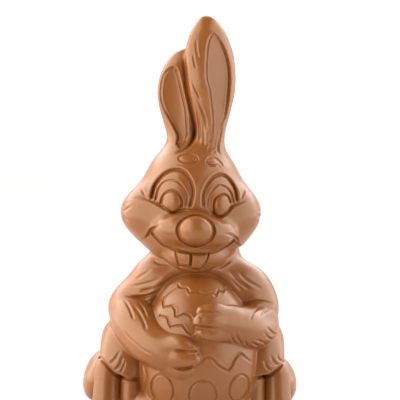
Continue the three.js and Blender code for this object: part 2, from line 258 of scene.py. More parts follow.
def tubes(p, limbs, softness):
    """Several limbs together."""
    return blend_all([tube(p, limb) for limb in limbs], softness)


def curve_through(points, steps=5):
    """A smooth curve through the points, as short straight pieces."""
    spans = spans_through(points)
    return on_span(spans, np.linspace(0, len(spans), steps * len(spans) + 1))[0]


def smooth_at(heights, values, z):
    """A smooth curve through values at heights (cubic pieces with central slopes)."""
    h, v = np.array(heights, float), np.array(values, float)
    slope = np.gradient(v, h)
    i = np.clip(np.searchsorted(h, z) - 1, 0, len(h) - 2)
    step = h[i + 1] - h[i]
    t = np.clip((z - h[i]) / step, 0, 1)
    rise = 3 * t ** 2 - 2 * t ** 3
    return (v[i] * (1 - rise) + v[i + 1] * rise
            + step * (slope[i] * t * (1 - t) ** 2 - slope[i + 1] * t ** 2 * (1 - t)))


def half_size(shape, sizes, z):
    """An ear's half width or depth. Squares run straight into a round tip, so they are smoothed."""
    square = smooth_at(shape["heights"], np.square(shape[sizes]), z)
    return np.sqrt(np.maximum(square, LEAST_SQUARE))


def ear(p, shape):
    """Distance to an ear, which ends flat at its top."""
    top = shape["heights"][-1]
    z = np.minimum(p[2], top - TIP_GAP)
    middle = smooth_at(shape["heights"], shape["middles"], z)
    wide = half_size(shape, "half_widths", z)
    deep = half_size(shape, "half_depths", z)
    turn = math.radians(shape["turn"])
    u, v = p[0] - middle, p[1] - shape["depth"]
    u, v = math.cos(turn) * u + math.sin(turn) * v, math.cos(turn) * v - math.sin(turn) * u
    share = np.sqrt((u / wide) ** 2 + (v / deep) ** 2)
    steepness = np.sqrt((u / wide ** 2) ** 2 + (v / deep ** 2) ** 2)
    side = share * (share - 1) / np.maximum(steepness, LEAST_STEEPNESS)
    return np.maximum(side, p[2] - top)


# ---------------------------------------------------------------- lines carved into the skin

# The lines are drawn on a board that stands upright through the figure and leans back to face
# a viewer in front; from there each line is carried straight back onto the skin.
BOARD_MIDDLE = (4, 0, 106.6)
VIEW_DISTANCE = 760
VIEW_TILT = math.radians(7)

# An oval line is drawn with this many straight pieces.
RING_PIECES = 32
# How high the skin is pushed up beside a carved line, as a share of its depth, and how far off.
LIP = 0.22
LIP_WIDTHS = 2.2
# A line is worked out up to this many of its widths away, or of its reaches where it has a drop.
MOST_WIDTHS = 3
MOST_REACHES = 4
# The edge of a hollow or plate: how wide it is, and the share of it that lies outside the outline.
EDGE_WIDTH = 0.9
EDGE_OUTSIDE = 0.4
# The hollows of the ears run out over this board height down into the forehead.
EAR_ROOT = 129
EAR_RUN_OUT = 13
# Relief is worked out this near to the skin, and runs out over this depth where its part ends.
RELIEF_NEAR = 6
RELIEF_RUN_OUT = 3
# Each part's relief covers what lies in front of such a depth, or behind the last one.
HEAD_DEPTH = 0
EAR_DEPTH = 3
LIMB_DEPTH = -4
LEG_DEPTH = 2
BACK_DEPTH = 7


def on_board(p):
    """Where points of the figure show on the board: X to the right and Z up, in millimetres."""
    x, y, z = p[0] - BOARD_MIDDLE[0], p[1] - BOARD_MIDDLE[1], p[2] - BOARD_MIDDLE[2]
    away = VIEW_DISTANCE + y * math.cos(VIEW_TILT) - z * math.sin(VIEW_TILT)
    up = y * math.sin(VIEW_TILT) + z * math.cos(VIEW_TILT)
    return BOARD_MIDDLE[0] + x * VIEW_DISTANCE / away, BOARD_MIDDLE[2] + up * VIEW_DISTANCE / away


def crease(points, depth, drop=0, reach=2, width=0.55, taper=0.2, smooth=True):
    """A carved line, half its width given, which thins out over shares of its length at the ends.

    Walking along the points, the skin on the right steps down by the drop and comes back up over
    the reach; a drop below zero is on the left.
    """
    path = curve_through(points) if smooth else np.array(points, float)
    ends = taper if isinstance(taper, tuple) else (taper, taper)
    return {"path": path, "depth": depth, "drop": drop, "reach": reach, "width": width,
            "ends": ends}


def stroke(points, depth=0.8, width=0.6):
    """A stroke of fur, pressed in at its first point and lifted off slowly towards its last."""
    return crease(points, depth, width=width, taper=(0.2, 0.5))


def ring(x, z, half_x, half_z, lean, depth, drop=0, width=0.5):
    """A closed oval line round a middle, leaned clockwise by some degrees; its right is outside."""
    turn = np.radians(np.linspace(0, 360, RING_PIECES + 1))
    c, s = math.cos(math.radians(lean)), math.sin(math.radians(lean))
    u, w = half_x * np.cos(turn), half_z * np.sin(turn)
    path = np.stack([x + c * u + s * w, z - s * u + c * w], axis=1)
    return {"path": path, "depth": depth, "drop": drop, "reach": 2, "width": width, "ends": (0, 0)}


def nearest(path, x, z):
    """Distance to a path, which side of it (above zero is left) and the share walked along it."""
    best = np.full(x.shape, np.inf)
    side = np.zeros(x.shape)
    along = np.zeros(x.shape)
    walked = 0
    for a, b in zip(path[:-1], path[1:]):
        dx, dz = b - a
        length = math.hypot(dx, dz)
        ux, uz = x - a[0], z - a[1]
        share = np.clip((ux * dx + uz * dz) / length ** 2, 0, 1)
        gap = (ux - share * dx) ** 2 + (uz - share * dz) ** 2
        closer = gap < best
        best = np.where(closer, gap, best)
        side = np.where(closer, dx * uz - dz * ux, side)
        along = np.where(closer, walked + share * length, along)
        walked += length
    return np.sqrt(best), side, along / walked


def ease(share):
    """A smooth step from 0 to 1."""
    share = np.clip(share, 0, 1)
    return share * share * (3 - 2 * share)


def cut_by(line, x, z):
    """How deep one line is carved at places on the board."""
    distance, side, along = nearest(line["path"], x, z)
    cut = line["depth"] * (np.exp(-(distance / line["width"]) ** 2)
                           - LIP * np.exp(-(distance / line["width"] - LIP_WIDTHS) ** 2))
    if line["drop"]:
        inward = np.where(side * line["drop"] < 0, distance, -distance)
        step = ease(0.5 + inward / (2 * line["width"]))
        cut += abs(line["drop"]) * step * np.exp(-np.maximum(inward, 0) / line["reach"])
    first, last = line["ends"]
    if first:
        cut *= ease(along / first)
    if last:
        cut *= ease((1 - along) / last)
    return cut


def creased(lines, x, z):
    """How deep all the lines are carved at places on the board."""
    total = np.zeros(x.shape)
    for line in lines:
        path = line["path"]
        reach = max(MOST_WIDTHS * line["width"], MOST_REACHES * line["reach"] if line["drop"] else 0)
        low, high = path.min(axis=0) - reach, path.max(axis=0) + reach
        near = np.flatnonzero((x > low[0]) & (x < high[0]) & (z > low[1]) & (z < high[1]))
        if len(near):
            total[near] += cut_by(line, x[near], z[near])
    return total


def inside_by(outline, x, z):
    """How far places on the board lie inside a closed outline; below zero outside."""
    distance, _, _ = nearest(outline, x, z)
    inside = np.zeros(x.shape, bool)
    for (ax, az), (bx, bz) in zip(outline[:-1], outline[1:]):
        if az != bz:
            crossing = ax + (z - az) * (bx - ax) / (bz - az)
            inside ^= ((az > z) != (bz > z)) & (x < crossing)
    return np.where(inside, distance, -distance)


def raised(domes, x, z):
    """How high the domes stand: each a middle, half sizes, lean in degrees and height."""
    total = np.zeros(x.shape)
    for middle_x, middle_z, half_x, half_z, lean, height in domes:
        c, s = math.cos(math.radians(lean)), math.sin(math.radians(lean))
        u, w = x - middle_x, z - middle_z
        share = ((c * u - s * w) / half_x) ** 2 + ((s * u + c * w) / half_z) ** 2
        total += height * np.sqrt(np.clip(1 - share, 0, 1))
    return total


def plate(outline, height):
    """A place with a closed outline that stands up by a height."""
    return {"path": np.array([*outline, outline[0]], float), "height": height}


def hollow(outline, x, y, z, slope_x, slope_z, bowl=0, half=1):
    """A place with a closed outline, cut back to a slanting floor through a point.

    The floor leans back by the slopes and bulges back by the bowl, half its width given.
    """
    return {"path": np.array([*outline, outline[0]], float), "middle": (x, y, z),
            "slopes": (slope_x, slope_z), "bowl": bowl, "half": half}


def edged(place, x, z):
    """1 inside a place's outline and 0 outside it, with a smooth step over the edge."""
    return ease(inside_by(place["path"], x, z) / EDGE_WIDTH + EDGE_OUTSIDE)


def hollowed(form, place, x, y, z):
    """The form cut back to the floor of a hollow; x and z are on the board."""
    middle_x, middle_y, middle_z = place["middle"]
    slope_x, slope_z = place["slopes"]
    share = np.clip((x - middle_x) / place["half"], -1, 1)
    floor = middle_y + slope_x * (x - middle_x) + slope_z * (z - middle_z)
    floor = floor + place["bowl"] * (1 - share ** 2)
    cut = np.maximum(floor - y - form, 0)
    return form + cut * edged(place, x, z) * ease((z - EAR_ROOT) / EAR_RUN_OUT)


def carved(p, form, depth, lines, domes=(), plates=(), hollows=(), behind=False):
    """A form with its relief, on the part of its skin in front of a depth, or else behind it."""
    ahead = p[1] - depth if behind else depth - p[1]
    near = np.flatnonzero((np.abs(form) < RELIEF_NEAR) & (ahead > 0))
    if not len(near):
        return form
    close = [axis[near] for axis in p]
    x, z = on_board(close)
    skin = form[near]
    relief = skin
    for place in hollows:
        relief = hollowed(relief, place, x, close[1], z)
    relief = relief + creased(lines, x, z) - raised(domes, x, z)
    for place in plates:
        relief = relief - place["height"] * edged(place, x, z)
    form = form.copy()
    form[near] = skin + (relief - skin) * ease(ahead[near] / RELIEF_RUN_OUT)
    return form


# Both sides of each ear's hollow, from the tip down.
RIGHT_HOLLOW_RIGHT = [(10.5, 189.5), (12.5, 188.1), (14.5, 185.2), (16.5, 180.6), (18, 175.5),
                      (18.7, 170), (18.7, 164), (18, 156.6), (17, 150.6), (15.5, 144.6)]
RIGHT_HOLLOW_LEFT = [(10.5, 189.5), (8.5, 186.5), (7.5, 181.7), (7, 174), (7.2, 166.6),
                     (8.5, 161.6), (9.5, 154), (10.2, 146.6), (10, 139), (9, 134), (7.5, 130.6)]
LEFT_HOLLOW_LEFT = [(-9.5, 173.1), (-13, 170.6), (-15, 165.6), (-15.5, 159), (-14.5, 154),
                    (-12, 148.6), (-9, 143), (-7.2, 138.6), (-8, 134.6)]
LEFT_HOLLOW_RIGHT = [(-9.5, 173.1), (-7.5, 171.6), (-6, 165.6), (-4.5, 159), (-3, 152.6),
                     (-2.3, 145.6), (-2, 139.6), (-3, 135.6), (-6, 132)]
EAR_HOLLOWS = [
    hollow([*RIGHT_HOLLOW_RIGHT, (13.5, 138), (12, 133), *RIGHT_HOLLOW_LEFT[:0:-1]],
           7.5, -9.3, 164, 0.5, 0.06),
    hollow([*LEFT_HOLLOW_LEFT, *LEFT_HOLLOW_RIGHT[:0:-1]],
           -9.5, -1.7, 160, -0.13, 0.05, 0.5, 6),
]
EAR_LINES = [
    # The rim round each hollow, and the deep side of the right one.
    crease([*RIGHT_HOLLOW_RIGHT[::-1], *RIGHT_HOLLOW_LEFT[1:]], 0.6, width=0.45, taper=0.05),
    crease(RIGHT_HOLLOW_RIGHT, 0.5, width=0.7, taper=0.3),
    crease([*LEFT_HOLLOW_LEFT[::-1], *LEFT_HOLLOW_RIGHT[1:]], 0.6, width=0.45, taper=0.05),
    crease([(15, 144), (14.3, 140), (13.3, 135.5), (13, 131.6), (14.2, 128.5)], 0.6, width=0.5),
    # The deep line between the ears, and fur on the flank of the right one.
    crease([(-4, 178.2), (-3.5, 170.6), (-2.5, 161.6), (-0.5, 152.6), (1, 145.6), (1.5, 140.6),
            (0.5, 136.6), (-2, 133), (-6, 130.6), (-9.5, 129.4)], 0.9, 0.5, 1.5, 0.7, 0.12),
    stroke([(3.6, 177), (2.3, 182), (2.2, 188.5)], 0.4, 0.5),
    stroke([(2.2, 172), (1.1, 176), (0.3, 181)], 0.4, 0.5),
    stroke([(4.6, 156), (1.7, 162), (-0.8, 168.5)], 0.5, 0.5),
    stroke([(7.4, 141.5), (6.5, 147), (4.1, 153.6), (1, 160.5)], 0.65, 0.6),
    stroke([(4.2, 135), (3.7, 143), (2.6, 151), (0.2, 158.5)], 0.5, 0.6),
    stroke([(6, 133), (5.9, 140), (5, 148)], 0.4, 0.5),
]

HEAD_LINES = [
    # The rounded bridge between the eyes.
    crease([(3.6, 121), (2.4, 114), (1.9, 108), (1.9, 103)], -0.3, width=2, taper=(0.5, 0.1)),
    # Eyes: three nested arches each, and the lid that the cheek pushes up.
    crease([(-20.8, 106.2), (-18.7, 114), (-13.5, 120), (-7.5, 122), (-2.5, 119.6), (0.9, 111.5),
            (-1, 101.8)], 0.8, 1.4, 3, 0.7, 0.06),
    crease([(-18.5, 105.4), (-17, 111.8), (-13.8, 115.7), (-10, 116.6), (-6, 115), (-2.4, 108.8),
            (-3.2, 102.3)], 0.4, 0.5, 1.5, 0.45, 0.06),
    crease([(-15.8, 104), (-14.5, 108.7), (-12, 110.9), (-9.2, 111.4), (-6.4, 109.6), (-4.9, 106),
            (-5.3, 101.8)], 0.5, 0.5, 1.2, 0.5, 0.06),
    crease([(-27.5, 107), (-21.5, 106.4), (-16.2, 103.9), (-12, 101.4), (-9.8, 100), (-7.7, 100.4),
            (-5, 101.4), (-0.8, 101.4)], 0.6, -1.2, 2, 0.55, (0.5, 0.15)),
    crease([(5.7, 102.2), (5.4, 108.8), (7.3, 114), (10.2, 117.9), (13.7, 119.4), (16.8, 118.6),
            (19.6, 115.8), (22, 111.3), (23, 105)], 0.7, 1.2, 2.6, 0.65, 0.06),
    crease([(8, 101.5), (8.2, 107), (9.8, 110.9), (12.3, 113.7), (14.7, 114), (17.9, 112.3),
            (20, 109), (21, 104.2)], 0.4, 0.5, 1.4, 0.45, 0.06),
    crease([(11.2, 99.3), (10.9, 103.6), (11.5, 107), (13.7, 108.8), (16, 109.5), (18.2, 108),
            (19.6, 104.8)], 0.5, 0.5, 1.2, 0.5, 0.06),
    crease([(8, 101.5), (10.9, 99.5), (13.3, 97.8), (15.4, 98.5), (17.9, 100.4), (20.7, 103.5),
            (24.9, 105.3), (28.6, 107.6)], 0.6, -1.2, 2, 0.55, (0.15, 0.45)),
    # Brows: a line round each bean.
    ring(-1.8, 127.2, 4.8, 2.1, 3, 0.45, width=0.45),
    crease([(14.8, 122.9), (12.4, 124.2), (9.4, 123.9), (7.6, 125.6), (8.6, 127.6), (11.4, 127.6),
            (14.2, 125.2), (15.4, 122.8)], 0.45, width=0.45, taper=0.1),
    # Nose, muzzle, mouth and chin.
    ring(1.9, 91.2, 8.9, 7.5, 3, 0.9, 1, 0.6),
    crease([(-15.5, 96.4), (-10, 99.1), (-5, 100.3), (1.5, 100.9), (7.5, 99.7), (12.5, 97.1),
            (18.5, 93)], 0.35, -1.2, 2.5, 0.8, 0.2),
    crease([(-20.8, 91.6), (-17.5, 87.5), (-13.5, 84), (-8.5, 81.9), (-3.5, 80.5), (4, 79.6),
            (10, 80.5), (15, 82.6), (19, 85.1), (21.3, 87.6)], 0.8, 1.5, 4, 0.55, 0.04),
    crease([(-14.8, 94.6), (-19.3, 92.6), (-21.6, 90), (-22.8, 86.4)], 0.6, -0.5, 1.5, 0.6,
           (0.4, 0.4)),
    crease([(15.2, 89.8), (19.5, 89.2), (22.2, 87.4), (23.6, 84.4)], 0.6, 0.5, 1.5, 0.6, (0.4, 0.4)),
    crease([(-17, 79.5), (-10.5, 73.6), (-7.5, 71.7), (-3.5, 70.7), (1.5, 69.8), (8, 70.7),
            (10.5, 72), (15, 73.6), (20, 77)], 0.9, 0.8, 1.5, 0.6),
    # Teeth: the lines beside, between and under them.
    crease([(-8, 81), (-7.6, 78), (-6.4, 74.2)], 0.6, width=0.45, taper=0.05),
    crease([(8.1, 80.4), (7.5, 77), (5.9, 74.2)], 0.6, width=0.45, taper=0.05),
    crease([(-0.3, 79.8), (-0.7, 73.3)], 0.6, width=0.45, taper=0.05),
    crease([(-6.6, 74), (-3.5, 73.4), (-0.8, 73.2), (0.2, 72.2), (3.8, 71.9), (6.1, 74)], 0.5,
           width=0.45, taper=0.05, smooth=False),
    # Fur at the cheeks.
    stroke([(-23.4, 109), (-24.2, 110.4), (-25.4, 112.6)], 0.25, 0.55),
    stroke([(-21.4, 107.4), (-25.6, 108), (-30.4, 107.2)], 0.35, 0.55),
    stroke([(-34.2, 100.6), (-32, 102.5), (-29, 103.8)], 0.35, 0.6),
    stroke([(-34.2, 98.6), (-33, 96.5), (-31.4, 94.6)], 0.35, 0.6),
    stroke([(-35, 103), (-33, 104.8), (-30.4, 105.6)], 0.3, 0.6),
    stroke([(24, 107), (25.6, 109.8), (26.2, 113)], 0.3, 0.6),
    stroke([(34.4, 96), (33.4, 98.6), (31.4, 100.6)], 0.35, 0.6),
    stroke([(34.4, 99.6), (33, 102), (31, 103.6)], 0.3, 0.6),
]
PUPILS = [(-10.3, 105.4, 4.7, 5.2, 0, 1.5), (15.2, 103.8, 4.0, 5.4, 8, 1.4)]
BROWS = [(-1.8, 127.2, 4.3, 1.7, 3, 0.7), (10.6, 125.7, 3.6, 1.6, 28, 0.7)]
TEETH = [
    plate([(-7.6, 80.8), (-7.2, 78), (-6.1, 74.4), (-1.2, 73.7), (-0.8, 79.6)], 1.7),
    plate([(0.2, 79.4), (-0.2, 72.8), (3.8, 72.4), (5.7, 74.4), (7.2, 77), (7.7, 79.6)], 1.8),
]

EGG_LINES = [
    crease([(1.5, 23), (4.5, 25.5), (7.5, 27.9), (10.5, 26.6), (13.5, 23.6), (17.5, 21.4),
            (19.5, 23), (21.5, 27), (24, 29.7), (26.5, 28), (29.5, 25.5), (32, 26)], 0.7),
    crease([(-9, 66), (-7, 65.2), (-6.2, 63), (-2.5, 62.9), (-1, 60.2), (3.5, 60.5), (6, 59.3),
            (10.5, 60.2), (11.8, 58.6), (13, 61.5), (15.5, 60.5), (16, 62), (18.5, 62.6)],
           0.6, smooth=False, width=0.45, taper=0.05),
    crease([(-14.8, 57.5), (-14, 53), (-9.8, 53.8), (-8.4, 51.5), (-8.2, 48.6), (-6.8, 48.1),
            (-3.8, 49.7), (-1.6, 49.2), (0.4, 47)], 0.65, smooth=False, width=0.45, taper=0.05),
    crease([(-16.2, 49.8), (-15.8, 48.6), (-12.4, 48), (-11.3, 44.4), (-10.4, 43), (-7.6, 43.8),
            (-4.6, 43.8), (-2.2, 40.8), (-0.2, 39.4), (1.6, 40)], 0.65, smooth=False, width=0.45,
           taper=0.05),
    # The rim down the egg's left side.
    crease([(-26, 26.6), (-24.3, 24.9), (-22.9, 19.4), (-22.9, 15), (-24.1, 10.5), (-24.3, 4)],
           0.5, width=0.8),
    ring(-14.6, 12.2, 5.3, 7.3, -16, 0.6),
    ring(5.4, 8.8, 6.7, 7.2, 0, 0.6),
    ring(23.4, 12.6, 4.6, 6.9, 22, 0.6),
]

LIMB_LINES = [
    # Under the chin and round the top of the egg.
    stroke([(-19.4, 76), (-15, 74.6), (-11, 74.6)], 0.4),
    stroke([(20, 76.8), (15, 73.6), (10, 73)], 0.4),
    crease([(-20.3, 52.5), (-17.5, 58.8), (-12.4, 65), (-6.5, 68.4), (1.5, 69.6), (10.6, 68.6),
            (16.6, 64.9), (20.8, 60.2), (23.8, 55.8)], 1.7, width=1.5, taper=(0.1, 0.25)),
    # Shoulders and sleeves, the left ones first.
    stroke([(-28, 67), (-24, 69.4), (-19.5, 72.6)], 0.45, 0.65),
    stroke([(-31, 63.4), (-25, 64.4), (-18, 66.4), (-12.5, 68.6)], 0.45, 0.65),
    stroke([(-27, 60.8), (-20, 62), (-14.5, 64.8), (-11, 67.6)], 0.6, 0.75),
    crease([(-34.5, 58.8), (-28.5, 58.2), (-22.5, 58.6), (-17, 61.2)], 0.9, 0.7, 3, 0.7,
           (0.4, 0.15)),
    stroke([(-29, 46.4), (-31.2, 52.4), (-34.4, 57.6)], 0.5, 0.6),
    stroke([(-22.6, 41), (-24.3, 46), (-27, 50.8), (-31, 55.6)], 0.55, 0.65),
    stroke([(-22.4, 47), (-24.3, 52), (-27.4, 56)], 0.5, 0.6),
    stroke([(29.6, 62), (25, 64.8), (21.2, 68), (17.8, 72)], 0.65, 0.7),
    stroke([(35.5, 62), (30.5, 64.6), (26, 67.6), (22, 72)], 0.55, 0.65),
    stroke([(25.5, 61), (21.6, 64.6), (18.4, 68.4)], 0.45, 0.65),
    crease([(22, 54), (26, 54.6), (31.5, 55.9), (36.5, 55.6), (42.5, 54)], 0.7, 0.6, 3, 0.7,
           (0.15, 0.5)),
    stroke([(28.6, 46), (31.2, 50.8), (35.6, 54.2)], 0.45),
    stroke([(34.6, 48), (36.2, 50.6), (40, 52.4)], 0.35, 0.55),
    # Ragged fur under the right sleeve and under the left one.
    stroke([(24.8, 34.6), (22.6, 38), (21.6, 42)], 0.6),
    stroke([(22, 34.8), (20, 37.4), (19, 40.4)], 0.5, 0.5),
    stroke([(27.6, 33.8), (26.2, 36.4)], 0.5, 0.5),
    stroke([(42.2, 39.2), (39.6, 40.8), (37, 43.8)], 0.7, 0.5),
    stroke([(40.2, 36.8), (37.8, 38.2), (35.6, 40.8)], 0.7, 0.5),
    stroke([(37.2, 34.8), (34.6, 35.8), (31.8, 37)], 0.7, 0.5),
    stroke([(33.6, 33.6), (31.6, 34.4), (29.4, 35.6)], 0.6, 0.5),
    stroke([(-19.4, 29.4), (-23.4, 31.2), (-28.4, 35)], 0.3, 0.5),
    stroke([(-25.6, 33), (-31, 37.4), (-35.6, 43)], 0.3, 0.5),
    # Between the fingers.
    crease([(2.4, 31), (-2, 30.9), (-6.4, 31.2), (-10.6, 31.4)], 0.9, width=0.55, taper=(0.05, 0.5)),
    crease([(0.6, 23.4), (-3.2, 22.3), (-7.6, 22.2), (-11.4, 23)], 0.9, width=0.55,
           taper=(0.05, 0.5)),
    crease([(3.2, 50.2), (6, 50.8), (10, 50.9), (16.4, 49.3)], 0.7, width=0.6, taper=(0.1, 0.6)),
    crease([(0.8, 43.6), (5.1, 43.5), (9.6, 43), (15.4, 41.8)], 0.9, width=0.55, taper=(0.05, 0.5)),
]

BELOW_HEM = 0.5
LEG_LINES = [
    # The line under each hem, and the fur above it.
    *[crease([(x, z - BELOW_HEM) for x, z in hem], 0.6, width=0.7, taper=0.05)
      for hem in (LEFT_HEM, RIGHT_HEM)],
    stroke([(-41.4, 24.4), (-38.6, 27), (-35.6, 31.6)], 0.6, 0.6),
    stroke([(-39, 21.6), (-36.6, 23.6), (-34, 28.4)], 0.7, 0.6),
    stroke([(-36, 20), (-34.4, 22.6), (-33, 27)], 0.5, 0.5),
    stroke([(43.4, 24), (41, 25.6), (39, 29.6)], 0.6, 0.6),
    stroke([(40.4, 21.2), (37.6, 23), (35.6, 27.4)], 0.7, 0.6),
    stroke([(45, 26), (43.4, 27), (42.4, 30)], 0.5, 0.5),
]

BACK_MIDDLE = 1.5


def both_sides(points, depth=0.8, width=0.8):
    """A stroke on the back and the same one mirrored, by their distances from the middle."""
    return [stroke([(BACK_MIDDLE + side * x, z) for x, z in points], depth, width)
            for side in (-1, 1)]


BACK_LINES = [
    # Fur at the nape, between the shoulders, over the haunches and round the tail.
    *both_sides([(3, 96), (4.4, 91), (3.6, 84)]),
    *both_sides([(9, 99), (11.4, 93.4), (10.6, 86.4)]),
    *both_sides([(15.4, 103), (18.4, 97.6), (18, 91)], 0.7),
    *both_sides([(6.4, 74), (8.4, 68), (7.2, 60.6)]),
    *both_sides([(14, 70), (16.6, 63.6), (15.6, 56)]),
    *both_sides([(21.4, 66), (24.4, 60), (24, 53.4)], 0.7),
    *both_sides([(3.4, 54), (4.6, 48.6), (3.8, 43)], 0.7),
    *both_sides([(12.6, 10), (14, 23), (20.6, 34), (29.6, 38.4)], 1.1, 1),
    *both_sides([(24, 12.6), (26.6, 17.6), (26.4, 24)], 0.7),
    *both_sides([(31, 14), (33, 19), (32.4, 25)], 0.7),
    *both_sides([(1.6, 24), (2.4, 20.4), (1.8, 16.4)], 0.7, 0.6),
    *both_sides([(5.4, 21.6), (6.6, 18), (5.8, 13.6)], 0.7, 0.6),
    # The backs of the ears dip along their middles.
    crease([(8.6, 144), (9.9, 160), (9.6, 176), (8.4, 189)], 0.7, width=2.2, taper=0.3),
    crease([(-5.2, 141), (-6.2, 154), (-6, 166), (-4, 174.6)], 0.7, width=2, taper=0.3),
]


# ---------------------------------------------------------------- the whole figure

def egg_form(p):
    half = np.where(p[2] > EGG_MIDDLE[2], EGG_ABOVE, EGG_BELOW)
    egg = lobe(p, (*EGG_MIDDLE, EGG_RADIUS, EGG_RADIUS, half))
    return carved(p, egg, EGG_MIDDLE[1], EGG_LINES)


def head_form(p):
    head = lobes(p, [CRANIUM, *CHEEKS, JAW], HEAD_SOFTNESS)
    head = blend(head, lobe(p, LOWER_LIP), MUZZLE_SOFTNESS)
    head = blend(head, lobe(p, MUZZLE, FACE_LEAN), MUZZLE_SOFTNESS)
    head = blend(head, lobe(p, NOSE, FACE_LEAN), NOSE_SOFTNESS)
    return carved(p, head, HEAD_DEPTH, HEAD_LINES, [*PUPILS, *BROWS], TEETH)


def head_and_ears(p):
    ears = blend(ear(p, LEFT_EAR), ear(p, RIGHT_EAR), EAR_PAIR_SOFTNESS)
    head = blend(head_form(p), ears, EAR_SOFTNESS)
    return carved(p, head, EAR_DEPTH, EAR_LINES, hollows=EAR_HOLLOWS)


def arm_form(p, forearm, fingers):
    hand = tubes(p, fingers, FINGER_SOFTNESS)
    return blend(tube(p, forearm), hand, HAND_SOFTNESS)


def trunk_form(p):
    """Torso, arms and the low base."""
    trunk = lobes(p, [NECK, CHEST, BELLY, *SHOULDERS, *ELBOWS], BODY_SOFTNESS)
    trunk = blend(trunk, lobe(p, BASE), BASE_SOFTNESS)
    trunk = blend(trunk, arm_form(p, LEFT_FOREARM, LEFT_FINGERS), ARM_SOFTNESS)
    trunk = blend(trunk, arm_form(p, RIGHT_FOREARM, RIGHT_FINGERS), ARM_SOFTNESS)
    return carved(p, trunk, LIMB_DEPTH, LIMB_LINES)


def feet_form(p):
    feet = blend_all([lobe(p, shape, lean) for shape, lean in FEET], FOOT_SOFTNESS)
    return blend(feet, tubes(p, TOES, FOOT_SOFTNESS), FOOT_SOFTNESS)


def legs_form(p):
    """Haunches and shins, cut off along the hems, with the feet under them."""
    haunches = np.minimum(lobe(p, HAUNCHES[0]), lobe(p, HAUNCHES[1]))
    legs = blend(haunches, tubes(p, SHINS, SHIN_SOFTNESS), KNEE_SOFTNESS)
    x, z = on_board(p)
    hem_x, hem_z = zip(*HEM)
    legs = np.maximum(legs, np.interp(x, hem_x, hem_z) - z)
    return carved(p, blend(legs, feet_form(p), HEM_SOFTNESS), LEG_DEPTH, LEG_LINES)


def figure(p):
    """Distance from the skin of the whole figure, in millimetres; below zero inside."""
    body = blend(trunk_form(p), legs_form(p), LEG_SOFTNESS)
    body = blend(body, lobe(p, TAIL), TAIL_SOFTNESS)
    body = blend(body, head_and_ears(p), CHIN_SOFTNESS)
    body = carved(p, body, BACK_DEPTH, BACK_LINES, behind=True)
    return np.maximum(blend(body, egg_form(p), EGG_SOFTNESS), -p[2])


# ---------------------------------------------------------------- field to mesh

# Points worked out at a time, and a box round the whole figure.
CHUNK = 60_000
LOW = np.array([-58.0, -50.0, -3.0])
HIGH = np.array([56.0, 44.0, 202.0])
# The grid is halved this often, each time only where the skin is nearer than so many cells.
LEVELS = 2
NEAR_CELLS = 1.8
# Beyond this many cells from the skin the finished grid holds one value.
BAND_CELLS = 3
# Moving points onto the skin: how often, the step that measures the slope, the least slope that
# counts and the furthest that a point moves at a time.
SETTLE_ROUNDS = 2
SLOPE_STEP = 0.05
LEAST_SLOPE = 0.2
LONGEST_MOVE = 0.5


def field_at(points):
    """The figure's field at many points, worked out in pieces that fit the processor's cache."""
    values = np.empty(len(points), np.float32)
    for start in range(0, len(points), CHUNK):
        part = points[start:start + CHUNK]
        values[start:start + CHUNK] = figure((part[:, 0], part[:, 1], part[:, 2]))
    return values


def grid_points(cells, size):
    return (LOW + cells * size).astype(np.float32)


def figure_mesh():
    """Follows the skin from a coarse grid down to the fine one and meshes it there."""
    size = CELL * 2 ** LEVELS
    shape = np.ceil((HIGH - LOW) / size).astype(int) + 1
    index = np.indices(shape).reshape(3, -1).T
    values = field_at(grid_points(index, size)).reshape(shape)
    for _ in range(LEVELS):
        values = np.repeat(np.repeat(np.repeat(values, 2, 0), 2, 1), 2, 2)
        near = np.abs(values) < size * NEAR_CELLS
        size /= 2
        found = np.argwhere(near)
        values[near] = field_at(grid_points(found, size))
    band = float(size * BAND_CELLS)
    grid = openvdb.FloatGrid(background=band)
    grid.copyFromArray(np.clip(values, -band, band))
    points, quads = grid.convertToQuads(isovalue=0.0)
    return points * size + LOW, quads


def settle(points):
    """Moves points onto the skin along the field's slope and returns them with their normals."""
    for _ in range(SETTLE_ROUNDS):
        here = field_at(points)
        slope = np.stack([
            field_at(points + np.eye(3)[axis] * SLOPE_STEP) - here for axis in range(3)
        ], axis=1) / SLOPE_STEP
        length = np.maximum(np.linalg.norm(slope, axis=1), LEAST_SLOPE)
        normals = slope / length[:, None]
        move = np.clip(here / length, -LONGEST_MOVE, LONGEST_MOVE)
        points = points - normals * move[:, None]
        points[:, 2] = np.maximum(points[:, 2], 0)
    return points, normals


def thin_out(piece, triangles):
    """Cuts a piece's triangles down to the most that it may have."""
    thin = piece.modifiers.new("thin", "DECIMATE")
    thin.ratio = MOST_TRIANGLES / triangles
    seen = piece.evaluated_get(bpy.context.evaluated_depsgraph_get())
    thinned = bpy.data.meshes.new_from_object(seen)
    piece.modifiers.clear()
    whole = piece.data
    piece.data = thinned
    bpy.data.meshes.remove(whole)
    thinned.name = piece.name


def build_figure():
    points, quads = figure_mesh()
    points, _ = settle(points.astype(np.float64))
    mesh = bpy.data.meshes.new("chocolate_bunny")
    mesh.from_pydata((points * MM).tolist(), [], quads.tolist())
    piece = bpy.data.objects.new("chocolate_bunny", mesh)
    bpy.context.scene.collection.objects.link(piece)
    triangles = 2 * len(quads)
    if triangles > MOST_TRIANGLES:
        thin_out(piece, triangles)
    # Thinning leaves points a little off the skin, so they settle once more.
    corners = np.empty(3 * len(piece.data.vertices))
    piece.data.vertices.foreach_get("co", corners)
    points, normals = settle(corners.reshape(-1, 3) / MM)
    piece.data.vertices.foreach_set("co", (points * MM).ravel())
    piece.data.shade_smooth()
    piece.data.normals_split_custom_set_from_vertices(normals.tolist())
    return piece


# ---------------------------------------------------------------- material

